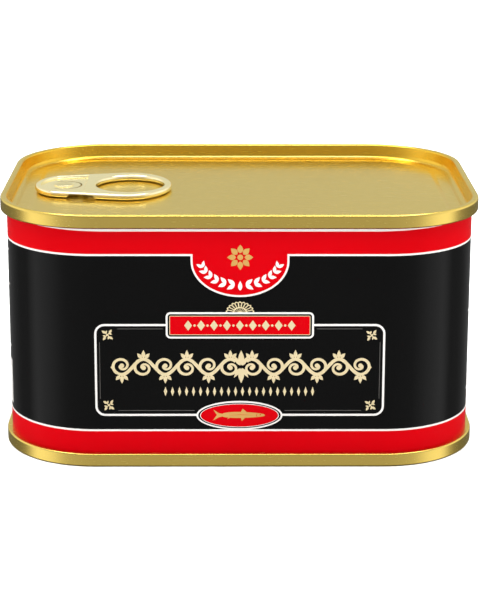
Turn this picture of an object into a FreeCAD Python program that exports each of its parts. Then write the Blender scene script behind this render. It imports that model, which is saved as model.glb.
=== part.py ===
"""Oblong fish tin with two double-seamed ends and a riveted ring-pull tab, in millimetres.

The tin stands on the rim of its base, with the origin in the middle of that rim, +X to the
right along the longer side, -Y towards the printed front and +Z up.
"""
import FreeCAD, Part
import math
import os
import Sketcher

Vector = FreeCAD.Vector

# The driving sizes: alias, value, what it measures.
SIZES = [
    ("body_width", 104.0, "outside of the can wall along X"),
    ("body_depth", 74.0, "outside of the can wall along Y"),
    ("corner_radius", 20.2, "outside of the can wall at its four corners"),
    ("overall_height", 57.0, "from the rim of the base seam to the rim of the lid seam"),
    ("wall_thickness", 0.25, "can wall where it stands up round each end"),
    ("end_sheet", 0.25, "steel of the lid and the base"),
    ("lid_seam_height", 3.1, "double seam of the lid"),
    ("lid_seam_overhang", 1.4, "how far it stands out from the can wall"),
    ("lid_rim_radius", 0.55, "rounding of both edges of its rim"),
    ("lid_panel_drop", 0.3, "panel below the foot of the seam"),
    ("lid_panel_rise", 0.25, "raised middle of the panel"),
    ("base_seam_height", 3.0, "double seam of the base"),
    ("base_seam_overhang", 1.1, "how far it stands out from the can wall"),
    ("base_rim_radius", 0.4, "rounding of both edges of its rim"),
    ("base_panel_drop", 1.2, "panel above the foot of the seam"),
    ("base_panel_rise", 0.5, "raised middle of the panel"),
    ("seam_foot_radius", 0.4, "rounding of a seam's outer edge next to the can wall"),
    ("chuck_angle", 8.0, "draft of the wall between a seam and its panel, in degrees"),
    ("countersink_radius", 1.2, "rounding between that wall and the panel"),
    ("panel_inset", 4.5, "foot of the raised middle, inwards from the can wall"),
    ("panel_corner_radius", 14.0, "corners of the raised middle at its foot"),
    ("panel_slope", 1.2, "width of the slope round the raised middle"),
    ("panel_slope_radius", 1.5, "rounding at the top and foot of that slope"),
    ("score_inset", 2.0, "tear line of the lid, inwards from the can wall"),
    ("score_width", 0.3, "width of the tear line"),
    ("score_depth", 0.09, "depth of the tear line"),
    ("rivet_inset", 11.3, "rivet axis, inwards from the left end of the can wall"),
    ("rivet_boss_radius", 3.4, "foot of the raised seat under the tab"),
    ("rivet_boss_draft", 30.0, "slope of that seat, in degrees"),
    ("rivet_radius", 1.6, "shank of the rivet"),
    ("rivet_clearance", 0.06, "between the shank and its hole in the tab"),
    ("rivet_head_radius", 2.2, "head of the rivet"),
    ("rivet_head_height", 0.25, "head of the rivet above the web of the tab"),
    ("rivet_head_rounding", 0.2, "edge of that head"),
    ("tab_clearance", 0.1, "between the lid and the curled edge of the tab"),
    ("tab_thickness", 1.4, "over the curled edge of the tab"),
    ("tab_sheet", 0.45, "steel of the tab"),
    ("tab_curl_width", 1.5, "curled edge of the tab, seen from above"),
    ("tab_curl_rounding", 0.62, "both edges of the curl"),
    ("nose_reach", 6.7, "from the rivet axis to the tip of the nose"),
    ("nose_front_radius", 10.7, "blunt front of the nose"),
    ("nose_corner_radius", 5.0, "corners of the nose"),
    ("nose_half_width", 9.0, "nose, from the centre line"),
    ("ring_reach", 25.1, "from the rivet axis to the far end of the ring"),
    ("ring_end_radius", 13.0, "far end of the ring"),
    ("ring_side_radius", 8.9, "sides of the ring"),
    ("ring_half_width", 12.0, "ring, from the centre line"),
    ("hole_reach", 15.4, "from the rivet axis to the middle of the finger hole"),
    ("hole_length", 15.7, "finger hole along the tab"),
    ("hole_width", 17.3, "finger hole across the tab"),
    ("dish_depth", 0.45, "web of the nose below the curled edge"),
    ("dish_reach", 5.1, "from the rivet axis to the far side of the sunken web"),
    ("dish_rounding", 0.2, "edges round the sunken web"),
    ("lance_radius", 3.9, "cut that frees the tongue round the rivet"),
    ("lance_width", 0.35, "width of that cut"),
    ("lance_half_angle", 115.0, "its reach to each side of the centre line, in degrees"),
    ("notch_start", 2.0, "gap in the curled edge, from the rivet axis"),
    ("notch_end", 7.3, "gap in the curled edge, from the rivet axis"),
    ("notch_flare", 0.8, "how much wider that gap is at its foot, at each end"),
]

# Levels and places that several pieces share, as expressions of the sizes.
LID_SEAM_FOOT = "(Sizes.overall_height - Sizes.lid_seam_height)"
LID_PANEL = f"({LID_SEAM_FOOT} - Sizes.lid_panel_drop)"
BASE_PANEL = "(Sizes.base_seam_height + Sizes.base_panel_drop)"
TAB_FOOT = f"({LID_PANEL} + Sizes.lid_panel_rise + Sizes.tab_clearance)"
WEB_FOOT = "(Sizes.tab_thickness - Sizes.dish_depth - Sizes.tab_sheet)"
WEB_TOP = "(Sizes.tab_thickness - Sizes.dish_depth)"
RIVET_LEFT = "(Sizes.body_width / 2 - Sizes.rivet_inset)"
NOSE_FRONT_CENTRE = "(Sizes.nose_front_radius - Sizes.nose_reach)"
NOSE_CORNER_OUT = "(Sizes.nose_half_width - Sizes.nose_corner_radius)"
RING_END_CENTRE = "(Sizes.ring_reach - Sizes.ring_end_radius)"
RING_SIDE_OUT = "(Sizes.ring_half_width - Sizes.ring_side_radius)"
RING_SIDE_CENTRE = (
    f"({RING_END_CENTRE} + sqrt((Sizes.ring_end_radius - Sizes.ring_side_radius) ^ 2"
    f" - {RING_SIDE_OUT} ^ 2))"
)

# Point numbers of sketch geometry.
START, END, CENTRE = 1, 2, 3
ORIGIN = (-1, 1)
X_AXIS = -1


def make_sheet(doc):
    """Write each driving size into a cell of its own, with its alias."""
    sheet = doc.addObject("Spreadsheet::Sheet", "Sizes")
    for row, (alias, size, meaning) in enumerate(SIZES, start=1):
        sheet.set(f"A{row}", alias)
        sheet.set(f"B{row}", str(size))
        sheet.set(f"C{row}", meaning)
        sheet.setAlias(f"B{row}", alias)
    doc.recompute()
    return sheet


def number(expression):
    """The present value of an expression of the sizes."""
    return float(sheet.evalExpression(expression))


def new_body(name):
    body = doc.addObject("PartDesign::Body", name)
    body.Label = name
    return body


def origin_plane(body, role):
    return [item for item in body.Origin.OriginFeatures if item.Role == role][0]


def new_sketch(body, name, level, role="XY_Plane"):
    """A sketch on one of the body's own origin planes, moved to a level along its normal."""
    sketch = body.newObject("Sketcher::SketchObject", name)
    sketch.AttachmentSupport = [(origin_plane(body, role), "")]
    sketch.MapMode = "FlatFace"
    sketch.setExpression(".AttachmentOffset.Base.z", level)
    return sketch


def constrain(sketch, kind, *picks):
    return sketch.addConstraint(Sketcher.Constraint(kind, *picks))


def dimension(sketch, name, expression, kind, *picks):
    """Add a dimension to a sketch and tie it to the sheet."""
    index = constrain(sketch, kind, *picks, number(expression))
    sketch.renameConstraint(index, name)
    sketch.setExpression(f"Constraints.{name}", expression)


def join_smoothly(sketch, pairs):
    """Join the end of one piece to the start of the next one, tangentially."""
    for here, following in pairs:
        constrain(sketch, "Tangent", here, END, following, START)


def arc(sketch, centre, radius, start, end):
    """An arc from one angle, in radians, anticlockwise to the other."""
    circle = Part.Circle(centre, Vector(0, 0, 1), radius)
    return sketch.addGeometry(Part.ArcOfCircle(circle, start, end))


def line(sketch, start, end):
    return sketch.addGeometry(Part.LineSegment(start, end))


def inset_outline(inset, corner_radius="Sizes.corner_radius"):
    """Width, depth and corner radius of the can's outline, moved inwards."""
    return (
        f"Sizes.body_width - 2 * {inset}",
        f"Sizes.body_depth - 2 * {inset}",
        f"{corner_radius}",
    )


def parallel_outline(inset):
    """The can's outline moved inwards, with its corners about the same centres."""
    return inset_outline(inset, f"Sizes.corner_radius - {inset}")


def rounded_rectangle(sketch, outline, prefix=""):
    """Draw an outline about the sketch's origin, anticlockwise from its right side."""
    width, depth, radius = outline
    corner = number(radius)
    across = number(width) / 2 - corner
    along = number(depth) / 2 - corner
    pieces = []
    for quarter in range(4):
        middle = quarter * math.pi / 2
        out_x, out_y = round(math.cos(middle)), round(math.sin(middle))
        reach = across if out_x else along
        half = along if out_x else across
        face = Vector(out_x, out_y, 0) * (reach + corner)
        run = Vector(-out_y, out_x, 0) * half
        pieces.append(line(sketch, face - run, face + run))
        centre = Vector(out_x, out_y, 0) * reach + run
        pieces.append(arc(sketch, centre, corner, middle, middle + math.pi / 2))
    join_smoothly(sketch, zip(pieces, pieces[1:] + pieces[:1]))
    right, first_arc, top, _, left, third_arc, bottom, _ = pieces
    for side in (right, left):
        constrain(sketch, "Vertical", side)
    for side in (top, bottom):
        constrain(sketch, "Horizontal", side)
    for other_arc in (pieces[3], pieces[5], pieces[7]):
        constrain(sketch, "Equal", first_arc, other_arc)
    constrain(sketch, "Symmetric", first_arc, CENTRE, third_arc, CENTRE, *ORIGIN)
    dimension(sketch, prefix + "Width", width, "DistanceX", left, START, right, START)
    dimension(sketch, prefix + "Depth", depth, "DistanceY", bottom, START, top, START)
    dimension(sketch, prefix + "Radius", radius, "Radius", first_arc)


def outline_sketch(body, name, outline, level):
    sketch = new_sketch(body, name, level)
    rounded_rectangle(sketch, outline)
    return sketch


def circle_sketch(body, name, radius, level, left=None):
    """A circle about the origin, or about a point to the left of it on the X axis."""
    sketch = new_sketch(body, name, level)
    centre = Vector(-number(left), 0, 0) if left else Vector(0, 0, 0)
    ring = sketch.addGeometry(Part.Circle(centre, Vector(0, 0, 1), number(radius)))
    if left:
        constrain(sketch, "PointOnObject", ring, CENTRE, X_AXIS)
        dimension(sketch, "Left", left, "DistanceX", ring, CENTRE, *ORIGIN)
    else:
        constrain(sketch, "Coincident", ring, CENTRE, *ORIGIN)
    dimension(sketch, "Radius", radius, "Radius", ring)
    return sketch


def extrude(body, kind, name, sketch, length, draft=None, backwards=False):
    """Pad or pocket a sketch. A negative draft narrows it as it goes."""
    feature = body.newObject(f"PartDesign::{kind}", name)
    feature.Profile = sketch
    feature.Reversed = backwards
    feature.setExpression("Length", length)
    if draft:
        feature.setExpression("TaperAngle", draft)
    doc.recompute()
    return feature


def loft(body, kind, name, first, last):
    feature = body.newObject(f"PartDesign::{kind}", name)
    feature.Profile = first
    feature.Sections = [last]
    feature.Ruled = True
    doc.recompute()
    return feature


def flat_face(shape, level):
    """The largest face that lies flat at a level."""
    found = []
    for face in shape.Faces:
        box = face.BoundBox
        if abs(box.ZMin - level) < 1e-4 and abs(box.ZMax - level) < 1e-4:
            found.append(face)
    return max(found, key=lambda face: face.Area)


def edge_names(feature, level, side):
    """Names of the edges round the outer loop, or the inner ones, of the flat face at a level."""
    face = flat_face(feature.Shape, number(level))
    outer = face.OuterWire
    inner = [wire for wire in face.Wires if not wire.isSame(outer)]
    about_origin = [wire for wire in inner if wire.BoundBox.isInside(Vector(0, 0, number(level)))]
    loops = {"outer": [outer], "inner": inner, "about origin": about_origin}[side]
    wanted = [edge for loop in loops for edge in loop.Edges]
    names = []
    for index, edge in enumerate(feature.Shape.Edges, start=1):
        if any(edge.isSame(other) for other in wanted):
            names.append(f"Edge{index}")
    return names


def fillet(body, name, radius, *loops):
    """Round the loops of edges, each a level and a side of the flat face there."""
    base = body.Tip
    names = [edge for level, side in loops for edge in edge_names(base, level, side)]
    feature = body.newObject("PartDesign::Fillet", name)
    feature.Base = (base, sorted(set(names)))
    feature.setExpression("Radius", radius)
    doc.recompute()
    return feature


def raised_middle(body, kind, name, panel, rise, slope_name):
    """Raise (or hollow out) the middle of a panel by a gentle slope, rounded top and foot."""
    top = f"({panel} + {rise})"
    foot_outline = inset_outline("Sizes.panel_inset", "Sizes.panel_corner_radius")
    top_outline = inset_outline(
        "(Sizes.panel_inset + Sizes.panel_slope)",
        "Sizes.panel_corner_radius - Sizes.panel_slope",
    )
    foot_sketch = outline_sketch(body, name + "Foot", foot_outline, panel)
    top_sketch = outline_sketch(body, name + "Top", top_outline, top)
    loft(body, kind, name, foot_sketch, top_sketch)
    fillet(body, slope_name, "Sizes.panel_slope_radius", (panel, "inner"), (top, "outer"))


def underside_radius(depth):
    """Rounding of an end's underside below the seam, kept within its depth there."""
    return f"min(Sizes.countersink_radius + Sizes.end_sheet; 0.9 * {depth})"


def make_contents():
    """The can wall and what it holds, solid, with a hollow at each end for its end panel."""
    body = new_body("body")
    height = f"{LID_SEAM_FOOT} - Sizes.base_seam_height"
    wall = outline_sketch(body, "WallOutline", parallel_outline("0"), "Sizes.base_seam_height")
    extrude(body, "Pad", "Wall", wall, height)
    lip = parallel_outline("Sizes.wall_thickness")
    lid_floor = f"({LID_PANEL} - Sizes.end_sheet)"
    base_floor = f"({BASE_PANEL} + Sizes.end_sheet)"
    ends = [
        ("Lid", LID_SEAM_FOOT, "Sizes.lid_panel_drop", lid_floor, "Sizes.lid_panel_rise", False),
        ("Base", "Sizes.base_seam_height", "Sizes.base_panel_drop", base_floor,
         "(0 - Sizes.base_panel_rise)", True),
    ]
    for end, foot, drop, floor, rise, upwards in ends:
        mouth = outline_sketch(body, end + "Mouth", lip, foot)
        depth = f"({drop} + Sizes.end_sheet)"
        extrude(body, "Pocket", end + "Hollow", mouth, depth, "-Sizes.chuck_angle", upwards)
        fillet(body, end + "HollowRounding", underside_radius(depth), (floor, "outer"))
        raised_middle(body, "AdditiveLoft", end + "Middle", floor, rise, end + "MiddleRounding")
    return body


def make_end(name, foot, rim, panel, underside, rise, upwards):
    """One stamped end: the double seam, the drafted wall inside it and the beaded panel."""
    body = new_body(name)
    size = "Sizes." + ("lid" if upwards else "base")
    seam_height = size + "_seam_height"
    drop = size + "_panel_drop"
    seam = outline_sketch(body, "SeamOutline", parallel_outline(f"(0 - {size}_seam_overhang)"), foot)
    extrude(body, "Pad", "Seam", seam, seam_height, backwards=not upwards)
    plug = outline_sketch(body, "PlugOutline", parallel_outline("Sizes.wall_thickness"), foot)
    plug_depth = f"({drop} + Sizes.end_sheet)"
    extrude(body, "Pad", "Plug", plug, plug_depth, "-Sizes.chuck_angle", backwards=upwards)
    mouth_inset = (
        f"(Sizes.wall_thickness + Sizes.end_sheet - {seam_height} * tan(Sizes.chuck_angle * 1 deg))"
    )
    mouth = outline_sketch(body, "RecessOutline", parallel_outline(mouth_inset), rim)
    recess_depth = f"{seam_height} + {drop}"
    extrude(body, "Pocket", "Recess", mouth, recess_depth, "-Sizes.chuck_angle", not upwards)
    fillet(body, "RecessRounding", "Sizes.countersink_radius", (panel, "outer"))
    fillet(body, "PlugRounding", underside_radius(plug_depth), (underside, "outer"))
    fillet(body, "RimRounding", size + "_rim_radius", (rim, "outer"), (rim, "inner"))
    fillet(body, "FootRounding", "Sizes.seam_foot_radius", (foot, "outer"))
    raised_middle(body, "AdditiveLoft", "Middle", panel, rise, "MiddleRounding")
    raised_middle(body, "SubtractiveLoft", "Underside", underside, rise, "UndersideRounding")
    return body


def add_score(body):
    """The tear line, pressed into the lid all round the panel."""
    sketch = new_sketch(body, "ScoreOutline", LID_PANEL)
    rounded_rectangle(sketch, parallel_outline("Sizes.score_inset"), "Outer")
    rounded_rectangle(sketch, parallel_outline("(Sizes.score_inset + Sizes.score_width)"), "Inner")
    extrude(body, "Pocket", "Score", sketch, "Sizes.score_depth")


def add_rivet(body):
    """The rivet drawn up out of the lid: its seat, its shank and the head over the tab."""
    seat_level = f"({LID_PANEL} + Sizes.lid_panel_rise)"
    seat = circle_sketch(body, "RivetSeatCircle", "Sizes.rivet_boss_radius", seat_level, RIVET_LEFT)
    seat_height = f"Sizes.tab_clearance + {WEB_FOOT}"
    extrude(body, "Pad", "RivetSeat", seat, seat_height, "-Sizes.rivet_boss_draft")
    shank_level = f"({TAB_FOOT} + {WEB_FOOT})"
    shank = circle_sketch(body, "RivetShankCircle", "Sizes.rivet_radius", shank_level, RIVET_LEFT)
    extrude(body, "Pad", "RivetShank", shank, "Sizes.tab_sheet")
    head_level = f"({TAB_FOOT} + {WEB_TOP})"
    head = circle_sketch(body, "RivetHeadCircle", "Sizes.rivet_head_radius", head_level, RIVET_LEFT)
    extrude(body, "Pad", "RivetHead", head, "Sizes.rivet_head_height")
    head_top = f"({head_level} + Sizes.rivet_head_height)"
    fillet(body, "RivetHeadRounding", "Sizes.rivet_head_rounding", (head_top, "outer"))


def tab_angles():
    """Angles at which the tab's side line leaves the ring's side and meets the nose's corner."""
    out = number(RING_SIDE_OUT)
    ring_angle = math.asin(out / number("Sizes.ring_end_radius - Sizes.ring_side_radius"))
    corner_out = number(NOSE_CORNER_OUT)
    corner_reach = number("Sizes.nose_front_radius - Sizes.nose_corner_radius")
    nose_angle = math.pi - math.asin(corner_out / corner_reach)
    corner = Vector(number(NOSE_FRONT_CENTRE) + corner_reach * math.cos(nose_angle), corner_out, 0)
    side = Vector(number(RING_SIDE_CENTRE), out, 0)
    across = corner - side
    narrowing = number("Sizes.ring_side_radius - Sizes.nose_corner_radius")
    line_angle = math.atan2(across.y, across.x) - math.acos(narrowing / across.Length)
    return ring_angle, line_angle, nose_angle, side, corner


def at_angle(centre, radius, angle):
    return centre + Vector(math.cos(angle), math.sin(angle), 0) * radius


def mirrored_point(point):
    return Vector(point.x, -point.y, 0)


def nose_side(sketch, inset, leave):
    """The nose's front, its two corners and the two side lines, moved inwards."""
    _, line_angle, nose_angle, _, corner = tab_angles()
    front_radius = number(f"Sizes.nose_front_radius - {inset}")
    corner_radius = number(f"Sizes.nose_corner_radius - {inset}")
    meet = at_angle(corner, corner_radius, line_angle)
    turn = 2 * math.pi
    back_line = line(sketch, leave, meet)
    back_corner = arc(sketch, corner, corner_radius, line_angle, nose_angle)
    front_centre = Vector(number(NOSE_FRONT_CENTRE), 0, 0)
    front = arc(sketch, front_centre, front_radius, nose_angle, turn - nose_angle)
    near_centre = mirrored_point(corner)
    near_corner = arc(sketch, near_centre, corner_radius, turn - nose_angle, turn - line_angle)
    near_line = line(sketch, mirrored_point(meet), mirrored_point(leave))
    pieces = [back_line, back_corner, front, near_corner, near_line]
    join_smoothly(sketch, zip(pieces, pieces[1:]))
    constrain(sketch, "PointOnObject", front, CENTRE, X_AXIS)
    dimension(sketch, "FrontCentre", NOSE_FRONT_CENTRE, "DistanceX", *ORIGIN, front, CENTRE)
    dimension(sketch, "FrontRadius", f"Sizes.nose_front_radius - {inset}", "Radius", front)
    dimension(sketch, "CornerRadius", f"Sizes.nose_corner_radius - {inset}", "Radius", back_corner)
    constrain(sketch, "Equal", back_corner, near_corner)
    dimension(sketch, "BackCorner", NOSE_CORNER_OUT, "DistanceY", *ORIGIN, back_corner, CENTRE)
    dimension(sketch, "NearCorner", NOSE_CORNER_OUT, "DistanceY", near_corner, CENTRE, *ORIGIN)
    return back_line, near_line


def ring_sides(sketch, inset, back_side, near_side):
    """Size and place the arcs, or circles, of the ring's two sides."""
    dimension(sketch, "SideRadius", f"Sizes.ring_side_radius - {inset}", "Radius", back_side)
    constrain(sketch, "Equal", back_side, near_side)
    dimension(sketch, "BackSide", RING_SIDE_OUT, "DistanceY", *ORIGIN, back_side, CENTRE)
    dimension(sketch, "NearSide", RING_SIDE_OUT, "DistanceY", near_side, CENTRE, *ORIGIN)


def tab_outline(body, name, level):
    """The whole outline of the tab, seen from above."""
    sketch = new_sketch(body, name, level)
    ring_angle, line_angle, _, side, _ = tab_angles()
    side_radius = number("Sizes.ring_side_radius")
    leave = at_angle(side, side_radius, line_angle)
    back_line, near_line = nose_side(sketch, "0", leave)
    end_radius = number("Sizes.ring_end_radius")
    near_side = arc(sketch, mirrored_point(side), side_radius, -line_angle, -ring_angle)
    end_centre = Vector(number(RING_END_CENTRE), 0, 0)
    ring_end = arc(sketch, end_centre, end_radius, -ring_angle, ring_angle)
    back_side = arc(sketch, side, side_radius, ring_angle, line_angle)
    pieces = [near_line, near_side, ring_end, back_side, back_line]
    join_smoothly(sketch, zip(pieces, pieces[1:]))
    ring_sides(sketch, "0", back_side, near_side)
    constrain(sketch, "PointOnObject", ring_end, CENTRE, X_AXIS)
    dimension(sketch, "EndCentre", RING_END_CENTRE, "DistanceX", *ORIGIN, ring_end, CENTRE)
    dimension(sketch, "EndRadius", "Sizes.ring_end_radius", "Radius", ring_end)
    return sketch


def nose_field(body, name, level, inset, reach):
    """The part of the nose inside its curled edge, as far as a line across the tab."""
    sketch = new_sketch(body, name, level)
    _, line_angle, _, side, _ = tab_angles()
    side_radius = number(f"Sizes.ring_side_radius - {inset}")
    touch = at_angle(side, side_radius, line_angle)
    climb = touch.x - number(reach)
    leave = Vector(number(reach), touch.y + climb / math.tan(line_angle), 0)
    back_line, near_line = nose_side(sketch, inset, leave)
    guides = []
    for centre in (side, mirrored_point(side)):
        circle = Part.Circle(centre, Vector(0, 0, 1), side_radius)
        guides.append(sketch.addGeometry(circle, True))
    ring_sides(sketch, inset, *guides)
    for guide, touching, label in zip(guides, (back_line, near_line), ("BackGuide", "NearGuide")):
        dimension(sketch, label, RING_SIDE_CENTRE, "DistanceX", *ORIGIN, guide, CENTRE)
        constrain(sketch, "Tangent", touching, guide)
    closing = line(sketch, mirrored_point(leave), leave)
    constrain(sketch, "Coincident", near_line, END, closing, START)
    constrain(sketch, "Coincident", closing, END, back_line, START)
    constrain(sketch, "Vertical", closing)
    dimension(sketch, "Reach", reach, "DistanceX", *ORIGIN, closing, END)
    return sketch


def hole_sketch(body, name, level):
    """The oval outline of the finger hole."""
    sketch = new_sketch(body, name, level)
    centre = Vector(number("Sizes.hole_reach"), 0, 0)
    across = Vector(0, number("Sizes.hole_width / 2"), 0)
    along = Vector(number("Sizes.hole_length / 2"), 0, 0)
    oval = sketch.addGeometry(Part.Ellipse(centre + across, centre + along, centre))
    sketch.exposeInternalGeometry(oval)
    long_axis, short_axis = oval + 1, oval + 2
    constrain(sketch, "Vertical", long_axis)
    constrain(sketch, "PointOnObject", oval, CENTRE, X_AXIS)
    dimension(sketch, "Reach", "Sizes.hole_reach", "DistanceX", *ORIGIN, oval, CENTRE)
    dimension(sketch, "Across", "Sizes.hole_width", "Distance", long_axis)
    dimension(sketch, "Along", "Sizes.hole_length", "Distance", short_axis)
    return sketch


def lance_sketch(body, name, level):
    """A C-shaped slot about the rivet, open towards the nose."""
    sketch = new_sketch(body, name, level)
    outer_radius = "Sizes.lance_radius + Sizes.lance_width"
    half = math.radians(number("Sizes.lance_half_angle"))
    inner = arc(sketch, Vector(), number("Sizes.lance_radius"), -half, half)
    outer = arc(sketch, Vector(), number(outer_radius), -half, half)
    ends = []
    for angle, point in ((half, END), (-half, START)):
        first = at_angle(Vector(), number("Sizes.lance_radius"), angle)
        last = at_angle(Vector(), number(outer_radius), angle)
        end = line(sketch, first, last)
        constrain(sketch, "Coincident", end, START, inner, point)
        constrain(sketch, "Coincident", end, END, outer, point)
        constrain(sketch, "PointOnObject", *ORIGIN, end)
        ends.append(end)
    for curve in (inner, outer):
        constrain(sketch, "Coincident", curve, CENTRE, *ORIGIN)
    constrain(sketch, "Vertical", ends[0], END, ends[1], END)
    dimension(sketch, "Inner", "Sizes.lance_radius", "Radius", inner)
    dimension(sketch, "Outer", outer_radius, "Radius", outer)
    dimension(sketch, "Reach", "Sizes.lance_half_angle * 1 deg", "Angle", ends[0])
    return sketch


def notch_sketch(body, name, level):
    """The gap in the curled edge, seen from the side: wider at its foot than at the sheet."""
    sketch = new_sketch(body, name, level, "XZ_Plane")
    first = number("Sizes.notch_start")
    last = number("Sizes.notch_end")
    flare = number("Sizes.notch_flare")
    top = number("Sizes.tab_thickness - Sizes.tab_sheet")
    corners = [
        Vector(first - flare, 0, 0),
        Vector(last + flare, 0, 0),
        Vector(last, top, 0),
        Vector(first, top, 0),
    ]
    sides = [line(sketch, here, there) for here, there in zip(corners, corners[1:] + corners[:1])]
    for here, there in zip(sides, sides[1:] + sides[:1]):
        constrain(sketch, "Coincident", here, END, there, START)
    foot, _, roof, _ = sides
    constrain(sketch, "PointOnObject", foot, START, X_AXIS)
    constrain(sketch, "Horizontal", foot)
    constrain(sketch, "Horizontal", roof)
    height = "Sizes.tab_thickness - Sizes.tab_sheet"
    dimension(sketch, "Height", height, "DistanceY", *ORIGIN, roof, END)
    dimension(sketch, "First", "Sizes.notch_start", "DistanceX", *ORIGIN, roof, END)
    dimension(sketch, "Last", "Sizes.notch_end", "DistanceX", *ORIGIN, roof, START)
    dimension(sketch, "FlareFirst", "Sizes.notch_flare", "DistanceX", foot, START, roof, END)
    dimension(sketch, "FlareLast", "Sizes.notch_flare", "DistanceX", roof, START, foot, END)
    return sketch


def make_tab():
    """The ring-pull, in its own frame: rivet axis at the origin, nose to -X, foot at Z = 0."""
    body = new_body("ring_tab")
    thickness = "Sizes.tab_thickness"
    blank = tab_outline(body, "BlankOutline", "0")
    extrude(body, "Pad", "Blank", blank, thickness)
    hole = hole_sketch(body, "FingerHoleOutline", thickness)
    extrude(body, "Pocket", "FingerHole", hole, thickness)
    curl_loops = [(level, side) for level in ("0", thickness) for side in ("outer", "inner")]
    fillet(body, "Curl", "min(Sizes.tab_curl_rounding; 0.45 * Sizes.tab_thickness)", *curl_loops)
    curl = "Sizes.tab_curl_width"
    hollow_reach = f"(Sizes.hole_reach - Sizes.hole_length / 2 - {curl})"
    hollow = nose_field(body, "HollowOutline", "0", curl, hollow_reach)
    extrude(body, "Pocket", "Hollow", hollow, WEB_FOOT, backwards=True)
    dish = nose_field(body, "DishOutline", thickness, curl, "Sizes.dish_reach")
    extrude(body, "Pocket", "Dish", dish, "Sizes.dish_depth")
    fillet(body, "DishRounding", "Sizes.dish_rounding", (WEB_TOP, "outer"), (thickness, "about origin"))
    rivet_hole_radius = "Sizes.rivet_radius + Sizes.rivet_clearance"
    rivet_hole = circle_sketch(body, "RivetHoleCircle", rivet_hole_radius, WEB_TOP)
    extrude(body, "Pocket", "RivetHole", rivet_hole, "Sizes.tab_sheet")
    lance = lance_sketch(body, "LanceOutline", WEB_TOP)
    extrude(body, "Pocket", "Lance", lance, "Sizes.tab_sheet")
    outside = "(Sizes.ring_half_width + 1)"
    notch = notch_sketch(body, "NotchOutline", outside)
    reach = f"{outside} - (Sizes.nose_half_width - Sizes.tab_curl_width)"
    near_notch = extrude(body, "Pocket", "Notch", notch, reach)
    both = body.newObject("PartDesign::Mirrored", "Notches")
    both.Originals = [near_notch]
    both.MirrorPlane = (origin_plane(body, "XZ_Plane"), [""])
    body.Tip = both
    body.setExpression(".Placement.Base.x", f"0 - {RIVET_LEFT}")
    body.setExpression(".Placement.Base.z", TAB_FOOT)
    doc.recompute()
    return body


def check(bodies):
    """Stop if any feature failed or any body came out empty or broken."""
    for item in doc.Objects:
        if "Invalid" in item.State or "Error" in item.State:
            raise RuntimeError(f"{item.Name} failed: {item.State}")
    for body in bodies:
        if body.Shape.isNull() or not body.Shape.isValid() or len(body.Shape.Solids) != 1:
            raise RuntimeError(f"{body.Label} is not one valid solid")


doc = FreeCAD.newDocument("FishTin")
sheet = make_sheet(doc)
contents = make_contents()
lid = make_end(
    "top_end",
    foot=LID_SEAM_FOOT,
    rim="Sizes.overall_height",
    panel=LID_PANEL,
    underside=f"({LID_PANEL} - Sizes.end_sheet)",
    rise="Sizes.lid_panel_rise",
    upwards=True,
)
add_score(lid)
add_rivet(lid)
base = make_end(
    "bottom_end",
    foot="Sizes.base_seam_height",
    rim="0",
    panel=BASE_PANEL,
    underside=f"({BASE_PANEL} + Sizes.end_sheet)",
    rise="(0 - Sizes.base_panel_rise)",
    upwards=False,
)
ring_tab = make_tab()
doc.recompute()
pieces = [contents, lid, base, ring_tab]
check(pieces)
os.makedirs("parts", exist_ok=True)
for piece in pieces:
    piece.Shape.exportStep(f"parts/{piece.Label}.step")
    print(f"{piece.Label}: {piece.Shape.Volume:.1f} cubic mm")
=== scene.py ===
"""Finish of an oblong fish tin: lacquered gold ends, printed wall, ring-pull, studio and camera.

Places and sizes are in millimetres until a mesh is made, when MM turns them into metres.
"""
import math

import bmesh
import bpy
from mathutils import Matrix, Vector


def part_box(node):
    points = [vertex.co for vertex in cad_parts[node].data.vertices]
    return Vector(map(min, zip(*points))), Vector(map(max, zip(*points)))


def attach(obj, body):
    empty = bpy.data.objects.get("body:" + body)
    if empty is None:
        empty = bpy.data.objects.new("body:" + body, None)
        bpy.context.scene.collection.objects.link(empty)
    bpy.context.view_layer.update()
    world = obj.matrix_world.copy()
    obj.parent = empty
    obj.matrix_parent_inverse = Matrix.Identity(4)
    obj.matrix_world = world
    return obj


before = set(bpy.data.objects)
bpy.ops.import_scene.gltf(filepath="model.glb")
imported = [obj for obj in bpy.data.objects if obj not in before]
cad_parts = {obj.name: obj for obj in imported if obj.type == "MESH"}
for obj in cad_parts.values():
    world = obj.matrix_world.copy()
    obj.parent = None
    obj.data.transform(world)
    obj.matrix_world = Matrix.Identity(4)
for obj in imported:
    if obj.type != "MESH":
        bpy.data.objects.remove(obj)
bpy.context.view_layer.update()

MM = 0.001
WALL_LOW, WALL_HIGH = (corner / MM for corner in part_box("body"))
WALL_WIDTH, WALL_DEPTH, _ = WALL_HIGH - WALL_LOW
SEAM_FOOT = WALL_HIGH.z
CORNER_RADIUS = 20.2
FLAT_FRONT = WALL_WIDTH / 2 - CORNER_RADIUS
FLAT_END = WALL_DEPTH / 2 - CORNER_RADIUS

# Where the gold changes colour: the rivet's head, whose edge is a distance from RIVET in metres, and the
# walls that face the middle, painted a deeper gold as a painted reflection, by how far along its own normal a
# point lies from the tin's axis, in metres.
RIVET = Vector((-40.7, 0.0, 55.5))
RIVET_HEAD_EDGE = (0.0026, 0.0029)
PAINTED_REFLECTION_FACING = (-0.034, -0.029)

# Each ink lies a step above the one under it, and its foot is sunk in the wall.
INK_STEP = 0.02
INK_ROOT = 0.05


# ---------------------------------------------------------------- finishes

def new_material(name):
    """A node material with its Principled shader, ready for sockets and links."""
    material = bpy.data.materials.new(name)
    material.use_nodes = True
    return material, material.node_tree.nodes, material.node_tree.links


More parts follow.
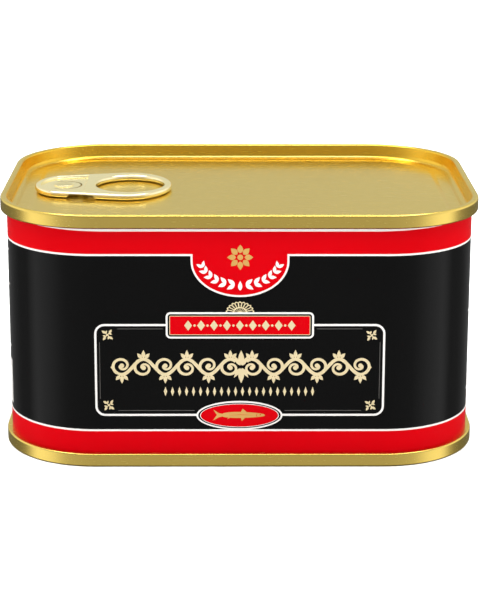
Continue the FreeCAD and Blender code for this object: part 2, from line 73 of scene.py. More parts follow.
def noise_node(nodes, links, scale, detail=2.0, stretch=(1.0, 1.0, 1.0)):
    """Noise over the piece's own coordinates, stretched along its axes."""
    place = nodes.new("ShaderNodeTexCoord")
    mapping = nodes.new("ShaderNodeMapping")
    mapping.inputs["Scale"].default_value = stretch
    noise = nodes.new("ShaderNodeTexNoise")
    noise.inputs["Scale"].default_value = scale
    noise.inputs["Detail"].default_value = detail
    links.new(place.outputs["Object"], mapping.inputs["Vector"])
    links.new(mapping.outputs["Vector"], noise.inputs["Vector"])
    return noise.outputs["Fac"]


def spread(nodes, links, source, low, high, span=(0.3, 0.7)):
    """Turn a noise into a number between low and high."""
    remap = nodes.new("ShaderNodeMapRange")
    remap.inputs["From Min"].default_value = span[0]
    remap.inputs["From Max"].default_value = span[1]
    remap.inputs["To Min"].default_value = low
    remap.inputs["To Max"].default_value = high
    links.new(source, remap.inputs["Value"])
    return remap.outputs["Result"]


def blend(nodes, links, source, first, second):
    """Blend two colours by a noise."""
    mix = nodes.new("ShaderNodeMix")
    mix.data_type = "RGBA"
    mix.inputs["A"].default_value = (*first, 1.0)
    mix.inputs["B"].default_value = (*second, 1.0)
    links.new(spread(nodes, links, source, 0.0, 1.0), mix.inputs["Factor"])
    return mix.outputs["Result"]


def relief(nodes, links, distance, *heights):
    """Bump from pairs of height and strength, each laid over the last."""
    normal = None
    for height, strength in heights:
        bump = nodes.new("ShaderNodeBump")
        bump.inputs["Strength"].default_value = strength
        bump.inputs["Distance"].default_value = distance
        links.new(height, bump.inputs["Height"])
        if normal:
            links.new(normal, bump.inputs["Normal"])
        normal = bump.outputs["Normal"]
    return normal


def lacquer(name, colour, deeper, roughness, gloss):
    """Printed ink under varnish: faint orange peel, colour and sheen not quite even."""
    material, nodes, links = new_material(name)
    shader = nodes["Principled BSDF"]
    patches = noise_node(nodes, links, 45.0)
    peel = noise_node(nodes, links, 900.0)
    links.new(blend(nodes, links, patches, colour, deeper), shader.inputs["Base Color"])
    links.new(spread(nodes, links, patches, roughness * 0.92, roughness * 1.1), shader.inputs["Roughness"])
    links.new(relief(nodes, links, 0.00002, (peel, 0.05)), shader.inputs["Normal"])
    shader.inputs["Specular IOR Level"].default_value = gloss
    return material


def painted_reflection_toward_middle(nodes, links):
    """Painted reflection: 1 on walls that face the middle of the tin, where the gold is painted deeper, 0
    elsewhere.
    """
    place = nodes.new("ShaderNodeTexCoord")
    level = nodes.new("ShaderNodeVectorMath")
    level.operation = "MULTIPLY"
    level.inputs[1].default_value = (1.0, 1.0, 0.0)
    facing = nodes.new("ShaderNodeVectorMath")
    facing.operation = "DOT_PRODUCT"
    links.new(place.outputs["Object"], level.inputs[0])
    links.new(level.outputs[0], facing.inputs[0])
    links.new(place.outputs["Normal"], facing.inputs[1])
    return spread(nodes, links, facing.outputs["Value"], 1.0, 0.0, PAINTED_REFLECTION_FACING)


def near_rivet(nodes, links):
    """1 on the head of the rivet, 0 elsewhere."""
    place = nodes.new("ShaderNodeTexCoord")
    away = nodes.new("ShaderNodeVectorMath")
    away.operation = "DISTANCE"
    away.inputs[1].default_value = RIVET * MM
    links.new(place.outputs["Object"], away.inputs[0])
    return spread(nodes, links, away.outputs["Value"], 1.0, 0.0, RIVET_HEAD_EDGE)


def gold_lacquered_steel(name, colour, deeper, roughness, tones=(), metal=1.0):
    """Steel under clear gold lacquer: fine rolling grain, soft waves left by the press, a glossy coat.

    Each of its tones is a place and the colour painted there, either the lacquer's own colour or a painted
    reflection.
    """
    material, nodes, links = new_material(name)
    shader = nodes["Principled BSDF"]
    shader.inputs["Metallic"].default_value = metal
    shader.inputs["Specular Tint"].default_value = (1.0, 1.0, 0.68, 1.0)
    shader.inputs["Coat Weight"].default_value = 0.35
    shader.inputs["Coat Roughness"].default_value = 0.12
    patches = noise_node(nodes, links, 30.0)
    rolling = noise_node(nodes, links, 40.0, 3.0, (6.0, 160.0, 160.0))
    waves = noise_node(nodes, links, 38.0, 1.0)
    tone = blend(nodes, links, patches, colour, deeper)
    for where, other in tones:
        mix = nodes.new("ShaderNodeMix")
        mix.data_type = "RGBA"
        mix.inputs["B"].default_value = (*other, 1.0)
        links.new(tone, mix.inputs["A"])
        links.new(where(nodes, links), mix.inputs["Factor"])
        tone = mix.outputs["Result"]
    links.new(tone, shader.inputs["Base Color"])
    links.new(spread(nodes, links, rolling, roughness * 0.96, roughness * 1.06), shader.inputs["Roughness"])
    links.new(relief(nodes, links, 0.0003, (waves, 0.012), (rolling, 0.003)), shader.inputs["Normal"])
    return material


BLACK = lacquer("black_varnish", (0.0009, 0.0009, 0.0008), (0.0007, 0.0007, 0.0007), 0.16, 0.15)
RED = lacquer("red_varnish", (0.515, 0.0002, 0.0034), (0.49, 0.0002, 0.0028), 0.20, 0.02)
WHITE = lacquer("white_ink", (0.72, 0.70, 0.68), (0.69, 0.67, 0.64), 0.3, 0.2)
CREAM = lacquer("cream_ink", (0.58, 0.485, 0.30), (0.55, 0.46, 0.265), 0.3, 0.2)
GOLD = lacquer("gold_ink", (0.55, 0.33, 0.09), (0.44, 0.23, 0.045), 0.3, 0.3)
GREY = lacquer("grey_ink", (0.085, 0.08, 0.075), (0.07, 0.066, 0.06), 0.3, 0.2)
# Walls that face the middle get a deeper gold, a painted reflection of the gold round them; the rivet's head
# gets the tab's champagne.
GOLD_STEEL = gold_lacquered_steel(
    "gold_lacquered_steel", (0.84, 0.61, 0.135), (0.80, 0.575, 0.12), 0.26,
    tones=((painted_reflection_toward_middle, (0.82, 0.50, 0.035)), (near_rivet, (0.95, 0.83, 0.50))),
)
TAB_STEEL = gold_lacquered_steel(
    "champagne_steel", (0.96, 0.84, 0.52), (0.92, 0.80, 0.47), 0.18, metal=0.88,
)


def finish_node(node, material):
    """Give a CAD piece its finish."""
    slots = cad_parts[node].data.materials
    slots.clear()
    slots.append(material)


# ---------------------------------------------------------------- pieces

def made(name, mesh, ink=None):
    """Put a finished mesh on the tin; a mesh from a tree has its ink already."""
    if ink:
        mesh.materials.clear()
        mesh.materials.append(ink)
    piece = bpy.data.objects.new(name, mesh)
    bpy.context.scene.collection.objects.link(piece)
    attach(piece, "root")
    return piece


def closed(mesh):
    """Merge doubles and turn every face outwards."""
    work = bmesh.new()
    work.from_mesh(mesh)
    bmesh.ops.remove_doubles(work, verts=work.verts, dist=1e-7)
    bmesh.ops.recalc_face_normals(work, faces=work.faces)
    if work.calc_volume(signed=True) < 0:
        bmesh.ops.reverse_faces(work, faces=work.faces)
    work.to_mesh(mesh)
    work.free()
    return mesh


def flat_shape(name, outlines, layer):
    """A flat shape on the front from closed outlines of (across, up); an outline inside another is a hole."""
    thickness = INK_ROOT + INK_STEP * layer
    curve = bpy.data.curves.new(name, "CURVE")
    curve.dimensions = "2D"
    curve.fill_mode = "BOTH"
    curve.extrude = thickness / 2 * MM
    for outline in outlines:
        spline = curve.splines.new("POLY")
        spline.points.add(len(outline) - 1)
        spline.use_cyclic_u = True
        for point, (across, up) in zip(spline.points, outline):
            point.co = (across * MM, up * MM, 0.0, 1.0)
    shape = bpy.data.objects.new(name, curve)
    mesh = bpy.data.meshes.new_from_object(shape)
    bpy.data.objects.remove(shape)
    middle = WALL_LOW.y + INK_ROOT - thickness / 2
    mesh.transform(Matrix.Translation((0, middle * MM, 0)) @ Matrix.Rotation(math.pi / 2, 4, "X"))
    return closed(mesh)


def ink_on_front(name, outlines, layer, ink):
    """Print a flat shape on the front."""
    return made(name, flat_shape(name, outlines, layer), ink)


def join_meshes(name, meshes):
    """One mesh of several separate closed shapes."""
    whole = bmesh.new()
    for mesh in meshes:
        whole.from_mesh(mesh)
    joined = bpy.data.meshes.new(name)
    whole.to_mesh(joined)
    whole.free()
    return joined


def inked_shapes(name, outlines, layer, ink, step=0.15, turns=4):
    """Shapes that may cross, each its own closed slip, and each a step thicker than the last, in turns."""
    slips = [flat_shape(name, [outline], layer + step * (index % turns))
             for index, outline in enumerate(outlines)]
    return made(name, join_meshes(name, slips), ink)


def rounded_box(left, right, foot, top, radius, inset=0.0, steps=10):
    """Outline of a rectangle with rounded corners, drawn in by inset."""
    left, right, foot, top = left + inset, right - inset, foot + inset, top - inset
    radius = max(radius - inset, 0.12)
    outline = []
    for across, up, start in (
        (right - radius, foot + radius, -90), (right - radius, top - radius, 0),
        (left + radius, top - radius, 90), (left + radius, foot + radius, 180),
    ):
        for step in range(steps + 1):
            turn = math.radians(start + 90 * step / steps)
            outline.append((across + radius * math.cos(turn), up + radius * math.sin(turn)))
    return outline


def ellipse(across, up, half_width, half_height, start=0.0, sweep=360.0, steps=72):
    """Points round an ellipse, or along part of it."""
    whole = abs(sweep) >= 360
    count = steps if whole else steps + 1
    turns = [math.radians(start + sweep * step / steps) for step in range(count)]
    return [(across + half_width * math.cos(turn), up + half_height * math.sin(turn)) for turn in turns]


def brush_stroke(path, widths):
    """Outline of a stroke that follows a path, with its width at each point."""
    left, right = [], []
    for index, (across, up) in enumerate(path):
        before, after = path[max(index - 1, 0)], path[min(index + 1, len(path) - 1)]
        along = Vector((after[0] - before[0], after[1] - before[1])).normalized()
        half = widths[index] / 2
        left.append((across - along.y * half, up + along.x * half))
        right.append((across + along.y * half, up - along.x * half))
    return left + right[::-1]


def leaf(across, up, direction, length, width, steps=8):
    """A pointed leaf from its foot, in a direction given in degrees."""
    turn = math.radians(direction)
    outline = []
    for side in (1, -1):
        for step in range(steps):
            share = step / steps if side == 1 else 1 - step / steps
            out = side * width / 2 * math.sin(math.pi * share ** 0.8)
            outline.append((
                across + math.cos(turn) * length * share - math.sin(turn) * out,
                up + math.sin(turn) * length * share + math.cos(turn) * out,
            ))
    return outline


def wall_point(along, up, out):
    """A point on the wall, by the distance along it from the middle of the front."""
    reach, side = abs(along), math.copysign(1, along)
    arc = CORNER_RADIUS * math.pi / 2
    if reach <= FLAT_FRONT:
        across, deep = reach, -WALL_DEPTH / 2 - out
    elif reach <= FLAT_FRONT + arc:
        turn = (reach - FLAT_FRONT) / CORNER_RADIUS
        across = FLAT_FRONT + (CORNER_RADIUS + out) * math.sin(turn)
        deep = -FLAT_END - (CORNER_RADIUS + out) * math.cos(turn)
    else:
        across, deep = WALL_WIDTH / 2 + out, reach - FLAT_FRONT - arc - FLAT_END
    return Vector((side * across, deep, up)) * MM


def wrapped_patch(name, start, end, foot, top, layer, steps=24, rise=None):
    """A rectangle of ink that follows the wall round a corner; a rise lifts its foot along the way."""
    mesh = bpy.data.meshes.new(name)
    rows, faces = [], []
    for step in range(steps + 1):
        along = start + (end - start) * step / steps
        low = foot + rise(along) if rise else foot
        rows += [wall_point(along, up, out) for up, out in (
            (low, -INK_ROOT), (low, INK_STEP * layer), (top, INK_STEP * layer), (top, -INK_ROOT))]
    for step in range(steps):
        first, second = 4 * step, 4 * step + 4
        faces += [(first + side, first + (side + 1) % 4, second + (side + 1) % 4, second + side)
                  for side in range(4)]
    last = 4 * steps
    faces += [(0, 1, 2, 3), (last + 3, last + 2, last + 1, last)]
    mesh.from_pydata(rows, [], faces)
    return closed(mesh)


# ---------------------------------------------------------------- geometry node trees

def new_tree(name, inputs):
    """A geometry node tree with named inputs; gives the tree and the identifier of each input."""
    tree = bpy.data.node_groups.new(name, "GeometryNodeTree")
    tree.interface.new_socket("Geometry", in_out="INPUT", socket_type="NodeSocketGeometry")
    tree.interface.new_socket("Geometry", in_out="OUTPUT", socket_type="NodeSocketGeometry")
    keys = {}
    for label, kind in inputs:
        socket = tree.interface.new_socket(label, in_out="INPUT", socket_type="NodeSocket" + kind)
        keys[label] = socket.identifier
    return tree, keys


def grown(name, tree, keys, sizes, base=None):
    """Run a tree on a carrier and keep its result as a plain mesh."""
    carrier = bpy.data.objects.new(name, base or bpy.data.meshes.new(name))
    bpy.context.scene.collection.objects.link(carrier)
    modifier = carrier.modifiers.new(tree.name, "NODES")
    modifier.node_group = tree
    for label, size in sizes.items():
        modifier[keys[label]] = size
    graph = bpy.context.evaluated_depsgraph_get()
    mesh = bpy.data.meshes.new_from_object(carrier.evaluated_get(graph))
    carrier.modifiers.remove(modifier)
    bpy.data.objects.remove(carrier)
    mesh.name = name
    return mesh


def band_tree():
    """A flat band of ink all round the wall, between two heights."""
    tree, keys = new_tree("band_round_wall", [
        ("Width", "Float"), ("Depth", "Float"), ("Corner Radius", "Float"), ("Corner Steps", "Int"),
        ("Foot", "Float"), ("Height", "Float"), ("Root", "Float"), ("Proud", "Float"), ("Ink", "Material"),
    ])
    add, link = tree.nodes.new, tree.links.new
    given = add("NodeGroupInput")
    outline = add("GeometryNodeCurvePrimitiveQuadrilateral")
    link(given.outputs["Width"], outline.inputs["Width"])
    link(given.outputs["Depth"], outline.inputs["Height"])
    corners = add("GeometryNodeFilletCurve")
    corners.mode = "POLY"
    link(outline.outputs["Curve"], corners.inputs["Curve"])
    link(given.outputs["Corner Steps"], corners.inputs["Count"])
    link(given.outputs["Corner Radius"], corners.inputs["Radius"])
    upright = add("GeometryNodeSetCurveNormal")
    upright.mode = "Z_UP"
    link(corners.outputs["Curve"], upright.inputs["Curve"])
    raised = add("GeometryNodeTransform")
    middle = add("ShaderNodeMath")
    middle.operation = "MULTIPLY_ADD"
    middle.inputs[1].default_value = 0.5
    link(given.outputs["Height"], middle.inputs[0])
    link(given.outputs["Foot"], middle.inputs[2])
    lift = add("ShaderNodeCombineXYZ")
    link(middle.outputs[0], lift.inputs["Z"])
    link(upright.outputs["Curve"], raised.inputs["Geometry"])
    link(lift.outputs["Vector"], raised.inputs["Translation"])
    thickness = add("ShaderNodeMath")
    thickness.operation = "ADD"
    link(given.outputs["Root"], thickness.inputs[0])
    link(given.outputs["Proud"], thickness.inputs[1])
    section = add("GeometryNodeCurvePrimitiveQuadrilateral")
    link(thickness.outputs[0], section.inputs["Width"])
    link(given.outputs["Height"], section.inputs["Height"])
    shift = add("ShaderNodeMath")
    shift.operation = "SUBTRACT"
    link(given.outputs["Root"], shift.inputs[0])
    link(given.outputs["Proud"], shift.inputs[1])
    half = add("ShaderNodeMath")
    half.operation = "MULTIPLY"
    half.inputs[1].default_value = -0.5
    link(shift.outputs[0], half.inputs[0])
    outward = add("ShaderNodeCombineXYZ")
    link(half.outputs[0], outward.inputs["X"])
    set_in = add("GeometryNodeTransform")
    link(section.outputs["Curve"], set_in.inputs["Geometry"])
    link(outward.outputs["Vector"], set_in.inputs["Translation"])
    sweep = add("GeometryNodeCurveToMesh")
    link(raised.outputs["Geometry"], sweep.inputs["Curve"])
    link(set_in.outputs["Geometry"], sweep.inputs["Profile Curve"])
    smooth = add("GeometryNodeSetShadeSmooth")
    smooth.inputs["Shade Smooth"].default_value = False
    link(sweep.outputs["Mesh"], smooth.inputs["Geometry"])
    whole = add("GeometryNodeRealizeInstances")
    link(smooth.outputs["Geometry"], whole.inputs["Geometry"])
    inked = add("GeometryNodeSetMaterial")
    link(whole.outputs["Geometry"], inked.inputs["Geometry"])
    link(given.outputs["Ink"], inked.inputs["Material"])
    out = add("NodeGroupOutput")
    link(inked.outputs["Geometry"], out.inputs["Geometry"])
    return tree, keys


def row_tree():
    """A mark repeated evenly along a path, turned to follow it."""
    tree, keys = new_tree("row_of_marks", [("Mark", "Object"), ("Marks", "Int"), ("Ink", "Material")])
    add, link = tree.nodes.new, tree.links.new
    given = add("NodeGroupInput")
    places = add("GeometryNodeResampleCurve")
    link(given.outputs["Geometry"], places.inputs["Curve"])
    link(given.outputs["Marks"], places.inputs["Count"])
    along = add("GeometryNodeInputTangent")
    turned = add("FunctionNodeAlignRotationToVector")
    turned.axis = "X"
    turned.pivot_axis = "Y"
    link(along.outputs["Tangent"], turned.inputs["Vector"])
    mark = add("GeometryNodeObjectInfo")
    link(given.outputs["Mark"], mark.inputs["Object"])
    repeated = add("GeometryNodeInstanceOnPoints")
    link(places.outputs["Curve"], repeated.inputs["Points"])
    link(mark.outputs["Geometry"], repeated.inputs["Instance"])
    link(turned.outputs["Rotation"], repeated.inputs["Rotation"])
    whole = add("GeometryNodeRealizeInstances")
    link(repeated.outputs["Instances"], whole.inputs["Geometry"])
    inked = add("GeometryNodeSetMaterial")
    link(whole.outputs["Geometry"], inked.inputs["Geometry"])
    link(given.outputs["Ink"], inked.inputs["Material"])
    out = add("NodeGroupOutput")
    link(inked.outputs["Geometry"], out.inputs["Geometry"])
    return tree, keys


BAND_TREE, BAND_KEYS = band_tree()
ROW_TREE, ROW_KEYS = row_tree()


def band(name, foot, top, layer, ink):
    """Print a band all round the wall."""
    mesh = grown(name, BAND_TREE, BAND_KEYS, {
        "Width": WALL_WIDTH * MM, "Depth": WALL_DEPTH * MM, "Corner Radius": CORNER_RADIUS * MM,
        "Corner Steps": 40, "Foot": foot * MM, "Height": (top - foot) * MM,
        "Root": INK_ROOT * MM, "Proud": INK_STEP * layer * MM, "Ink": ink,
    })
    mesh = closed(mesh)
    for face in mesh.polygons:
        face.use_smooth = abs(face.normal.z) < 0.5
    mesh.set_sharp_from_angle(angle=math.radians(30))
    return made(name, mesh)


def row(name, mark_outlines, path, marks, layer, ink):
    """Print a mark, drawn round its own middle, evenly along a path of (across, up)."""
    mark = bpy.data.objects.new(name + "_mark", flat_shape(name + "_mark", mark_outlines, layer))
    bpy.context.scene.collection.objects.link(mark)
    line = bpy.data.curves.new(name, "CURVE")
    line.dimensions = "3D"
    spline = line.splines.new("POLY")
    spline.points.add(len(path) - 1)
    for point, (across, up) in zip(spline.points, path):
        point.co = (across * MM, 0.0, up * MM, 1.0)
    mesh = grown(name, ROW_TREE, ROW_KEYS, {"Mark": mark, "Marks": marks, "Ink": ink}, line)
    bpy.data.objects.remove(mark)
    return made(name, mesh)


# ---------------------------------------------------------------- print round the wall

finish_node("body", BLACK)
finish_node("top_end", GOLD_STEEL)
finish_node("bottom_end", GOLD_STEEL)
finish_node("ring_tab", TAB_STEEL)

LOWER_RED_TOP, UPPER_RED_FOOT = 7.95, 48.1
LINE_WIDTH = 0.42
band("lower_red_band", 2.9, LOWER_RED_TOP, 1, RED)
band("lower_white_line", LOWER_RED_TOP, LOWER_RED_TOP + LINE_WIDTH, 1, WHITE)
band("upper_white_line", UPPER_RED_FOOT - LINE_WIDTH, UPPER_RED_FOOT, 1, WHITE)
band("upper_red_band", UPPER_RED_FOOT, SEAM_FOOT, 1, RED)


# White hairline under the lid's seam, on the front. The seam covers more of it towards the corners.
HAIRLINE_FOOT, HAIRLINE_TOP, HAIRLINE_REACH = 53.10, 53.65, 46.0
COVER_START, COVER_RISE = 30.0, 0.5


def seam_cover(along):
    """How far the seam's cover lifts the foot of the hairline."""
    share = (abs(along) - COVER_START) / (HAIRLINE_REACH - COVER_START)
    return COVER_RISE * max(0.0, share)


hairline = wrapped_patch("seam_white_line", -HAIRLINE_REACH, HAIRLINE_REACH, HAIRLINE_FOOT, HAIRLINE_TOP,
                         2, steps=120, rise=seam_cover)
made("seam_white_line", hairline, WHITE)

# Half round that hangs from the upper band.
HALF_ROUND_UP, HALF_ROUND_DOWN, HALF_ROUND_WIDE = 46.5, 7.95, 10.6


def half_round(inset, top):
    """Outline of the half round, drawn in by inset, up to its flat top."""
    bowl = ellipse(0, HALF_ROUND_UP, HALF_ROUND_WIDE - inset, HALF_ROUND_DOWN - inset, 180, 180)
    return [(-HALF_ROUND_WIDE + inset, top)] + bowl + [(HALF_ROUND_WIDE - inset, top)]


ink_on_front("half_round_line", [half_round(0, UPPER_RED_FOOT)], 2, WHITE)
ink_on_front("half_round_field", [half_round(LINE_WIDTH, UPPER_RED_FOOT + 0.3)], 3, RED)

# Frame, its fine inner line and the leaves in its corners.
FRAME = (-31.54, 31.54, 11.48, 32.46, 2.2)
ink_on_front("frame_line", [rounded_box(*FRAME), rounded_box(*FRAME, inset=0.46)], 1, WHITE)
FINE = 0.13
fine_lines = (
    (-26.6, -16.6, 31.3, 31.3 + FINE), (16.6, 26.6, 31.3, 31.3 + FINE),
    (-26.6, -9.8, 12.66, 12.66 + FINE), (9.8, 26.6, 12.66, 12.66 + FINE),
    (-30.5, -30.5 + FINE, 15.4, 28.4), (30.5 - FINE, 30.5, 15.4, 28.4),
)
ink_on_front("fine_inner_line", [rounded_box(*sides, 0.02, steps=1) for sides in fine_lines], 1, GREY)


def out_from(across, up, reach, direction):
    """The point at a distance from another, in a direction given in degrees."""
    turn = math.radians(direction)
    return across + reach * math.cos(turn), up + reach * math.sin(turn)


def corner_leaves(across, up):
    """Two crossed twigs, with a large and a small leaf at each end."""
    shapes = []
    for turn in (45, 135, 225, 315):
        for start, lean, length, width in ((0.50, 10, 1.05, 0.56), (0.48, -62, 0.72, 0.40)):
            foot = out_from(across, up, start, turn)
            shapes.append(leaf(*foot, turn + lean, length, width))
    for turn in (45, 135):
        twig = [out_from(across, up, reach, turn) for reach in (-0.7, 0.0, 0.7)]
        shapes.append(brush_stroke(twig, [0.16, 0.26, 0.16]))
    return shapes


FRAME_CORNERS = ((-28.7, 30.0), (28.6, 29.9), (-28.6, 13.95), (28.55, 13.9))
inked_shapes("frame_corner_leaves", [
    shape for corner in FRAME_CORNERS for shape in corner_leaves(*corner)
], 1, CREAM)

# Banner on the top of the frame, with a half rosette standing on it.
BANNER = (-16.04, 16.04, 29.2, 35.12, 1.05)
ink_on_front("banner_line", [rounded_box(*BANNER)], 2, WHITE)
ink_on_front("banner_gap", [rounded_box(*BANNER, inset=0.42)], 3, BLACK)
ink_on_front("banner_fine_line", [rounded_box(*BANNER, inset=0.78)], 4, CREAM)
ink_on_front("banner_field", [rounded_box(*BANNER, inset=0.92)], 5, RED)
row("banner_lozenges", [[(-0.85, 0), (0, -1.15), (0.85, 0), (0, 1.15)]],
    [(-11.2, 32.15), (11.2, 32.15)], 9, 6, CREAM)
row("banner_beads", [ellipse(0, 0, 0.26, 0.26, steps=16)], [(-9.8, 32.15), (9.8, 32.15)], 8, 6, CREAM)


FAN_MIDDLE, FAN_HALF_WIDTH, FAN_HEIGHT = 0.02, 3.12, 2.55


def fan_point(up, reach, turn):
    """A point of the fan, by its share of the reach and its turn from the right."""
    return FAN_MIDDLE + FAN_HALF_WIDTH * reach * math.cos(turn), up + FAN_HEIGHT * reach * math.sin(turn)


def fan(up, petals, rays):
    """A scalloped half rosette: one outline, open between its ribs and its inner rays."""
    step = math.pi / petals
    scallop_steps = 8
    outline = []
    for petal in range(petals):
        for point in range(scallop_steps + 1):
            share = point / scallop_steps
            swell = 0.90 + 0.10 * math.sin(math.pi * share)
            outline.append(fan_point(up, swell, step * (petal + share * 0.999)))
    holes = []
    for count, inner, outer, rib in ((petals, 0.50, 0.86, 0.085), (rays, 0.14, 0.38, 0.035)):
        near, far = rib / inner / 2.2, rib / outer / 2.2
        for gap in range(count):
            start, end = math.pi * gap / count, math.pi * (gap + 1) / count
            hole = [fan_point(up, inner, start + near), fan_point(up, outer, start + far),
                    fan_point(up, outer + 0.045, (start + end) / 2), fan_point(up, outer, end - far),
                    fan_point(up, inner, end - near)]
            holes.append([(across, max(height, up + 0.12)) for across, height in hole])
    return [outline] + holes


ink_on_front("banner_fan", fan(35.0, petals=11, rays=9), 1, CREAM)

# Oval badge with a fish on the foot of the frame.
OVAL = (-0.06, 11.6)
for name, half_width, half_height, layer, ink in (
    ("oval_line", 9.42, 3.32, 2, WHITE), ("oval_gap", 9.02, 2.95, 3, BLACK),
    ("oval_fine_line", 8.62, 2.72, 4, WHITE), ("oval_field", 8.48, 2.6, 5, RED),
):
    ink_on_front(name, [ellipse(*OVAL, half_width, half_height)], layer, ink)


def fish_outlines():
    """A plain slim fish that swims to the right: its body, open at eye, gill and side line, and its fins."""
    back = [(4.75 * math.cos(turn) + 0.75, 0.74 * math.sin(turn) ** 0.8 * (1 - 0.22 * math.cos(turn)))
            for turn in (math.pi * step / 28 for step in range(29))]
    belly = [(x, -0.82 * y) for x, y in reversed(back[1:-1])]
    openings = [ellipse(4.5, 0.12, 0.15, 0.15, steps=12),
                brush_stroke(ellipse(4.25, 0.0, 0.6, 0.42, 130, 100, steps=8), [0.1] * 9),
                brush_stroke([(-2.4, 0.02), (0.2, 0.1), (2.9, 0.04)], [0.04, 0.12, 0.04])]
    tail = [(-3.2, 0.16), (-4.6, 0.5), (-5.75, 1.3), (-5.0, 0.05),
            (-5.85, -1.2), (-4.5, -0.45), (-3.2, -0.16)]
    fins = [
        [(0.1, 0.45), (0.65, 1.5), (1.75, 0.5)], [(0.2, -0.4), (0.45, -1.35), (1.3, -0.42)],
        [(-2.3, -0.2), (-2.7, -0.85), (-1.5, -0.3)], [(-1.9, 0.2), (-2.2, 0.75), (-1.3, 0.3)],
    ]
    return [back + belly] + openings, [tail] + fins


body_outlines, fin_outlines = fish_outlines()
fish = join_meshes("oval_fish", [flat_shape("fish_body", body_outlines, 6.4)]
                   + [flat_shape("fish_fin", [fin], 6) for fin in fin_outlines])
FISH_UP = 11.65
fish.transform(Matrix.Translation((0, 0, FISH_UP * MM)))
made("oval_fish", fish, GOLD)


# A garland and a rosette in the half round.

def garland(across, up, half_width, half_height, pairs, length, width):
    """Pairs of leaves that climb both sides of a hanging bow from a leaf in its middle."""
    shapes = [leaf(across, up - half_height - length * 0.62, 90, length * 1.1, width)]
    for side in (-1, 1):
        for pair in range(pairs):
            climb = pair / (pairs - 1)
            turn = math.radians(8 + 64 * climb)
            foot = (across + side * half_width * math.sin(turn), up - half_height * math.cos(turn))
            rise = math.degrees(math.atan2(half_height * math.sin(turn), half_width * math.cos(turn)))
            for lean in (-36, 36):
                aim = rise + lean if side > 0 else 180 - rise - lean
                grow = 1 - 0.22 * climb
                shapes.append(leaf(*foot, aim, length * grow, width * grow))
    return shapes


inked_shapes("half_round_garland", garland(0.05, 46.9, 8.5, 5.7, 6, 1.95, 0.92), 4, WHITE)
ROSETTE = (0.05, 47.4)
petals = [leaf(*out_from(*ROSETTE, 0.9, turn), turn, 1.9, 1.25) for turn in range(0, 360, 45)]
ink_on_front("half_round_rosette", [ellipse(*ROSETTE, 0.62, 0.62, steps=24)] + petals, 4, GOLD)


# Scrollwork in the frame: a vine that winds to both sides of a middle palmette.
SCROLL_MIDDLE, SCROLL_UP, BAY = 0.3, 22.75, 4.72
BAYS, VINE_SWING = 6, 1.75


VINE_START, VINE_STEPS, CURL_STEPS = 1.2, 120, 32


def vine_at(reach):
    """Height of the vine at a distance from the palmette."""
    return SCROLL_UP + VINE_SWING * math.sin(math.pi * reach / BAY)


def vine(side):
    """The vine to one side, thinning out at its far end."""
    reaches = [VINE_START + (BAY * BAYS - VINE_START) * step / VINE_STEPS for step in range(VINE_STEPS + 1)]
    widths = [0.74 * min(1, 0.4 + 6 * (1 - step / VINE_STEPS)) for step in range(VINE_STEPS + 1)]
    return brush_stroke([(SCROLL_MIDDLE + side * reach, vine_at(reach)) for reach in reaches], widths)


def tendril(eye, side, way):
    """A curl that winds in to its eye from the vine."""
    curl = []
    for step in range(CURL_STEPS + 1):
        share = step / CURL_STEPS
        turn = math.radians(-62 + 430 * share)
        reach = 1.80 * (1 - share) ** 0.8 + 0.30
        curl.append((eye[0] + side * reach * math.cos(turn), eye[1] - way * reach * math.sin(turn) * 0.92))
    return brush_stroke(curl, [0.68 - 0.26 * step / CURL_STEPS for step in range(CURL_STEPS + 1)])


def crest(across, up, way):
    """Three leaves that stand on the vine, or hang from it, fanned out from nearly one foot."""
    shapes = []
    for lean, length in ((-42, 1.45), (0, 1.85), (42, 1.45)):
        foot = across + 0.55 * math.sin(math.radians(-lean * way))
        shapes.append(leaf(foot, up, 90 * way + lean, length, 0.82))
    return shapes


def scrollwork():
    """Outlines of the vines, tendrils, berries and leaves to both sides of the palmette."""
    vines, tendrils, berries, leaves = [], [], [], []
    for side in (-1, 1):
        vines.append(vine(side))
        for bay in range(BAYS):
            way = -1 if bay % 2 else 1
            middle = BAY * (bay + 0.5)
            across = SCROLL_MIDDLE + side * middle
            eye = (across, SCROLL_UP - way * 0.25)
            tendrils.append(tendril(eye, side, way))
            berries.append(ellipse(*eye, 0.52, 0.50, steps=16))
            leaves += crest(across, vine_at(middle) + way * 0.22, way)
    return vines, tendrils, berries, leaves


vines, tendrils, berries, leaves = scrollwork()
inked_shapes("scroll_vine", vines, 1, CREAM, step=0)
inked_shapes("scroll_tendrils", tendrils, 1.3, CREAM, step=0)
inked_shapes("scroll_berries", berries, 1.6, CREAM, step=0)
inked_shapes("scroll_leaves", leaves, 0.7, CREAM, step=0.1, turns=3)
PALMETTE = (
    (90, 3.4, 1.3), (58, 2.6, 0.8), (122, 2.6, 0.8),
    (270, 3.4, 1.3), (238, 2.6, 0.8), (302, 2.6, 0.8),
)
inked_shapes("scroll_palmette", [
    leaf(*out_from(SCROLL_MIDDLE, SCROLL_UP, 0.35, turn), turn, length, width)
    for turn, length, width in PALMETTE
], 1.9, CREAM)
row("lozenge_row", [[(-0.36, 0), (0, -1.08), (0.36, 0), (0, 1.08)]],
    [(-16.2, 17.1), (15.9, 17.1)], 22, 1, CREAM)

# Blank panel and ruled lines on the ends.
made("end_panel", wrapped_patch("end_panel", -57.6, -84.0, 9.6, 19.8, 1), WHITE)
for name, side, heights in (
    ("left_end_rules", -1, (22.6, 31.5, 37.0, 39.5, 45.0)), ("right_end_rules", 1, (12.5, 28.2, 30.8)),
):
    rules = [wrapped_patch("rule", side * (58.5 + 1.5 * (index % 2)), side * 82.0, up, up + 0.35, 1)
             for index, up in enumerate(heights)]
    made(name, join_meshes("rules", rules), WHITE)


# ---------------------------------------------------------------- camera, light and floor

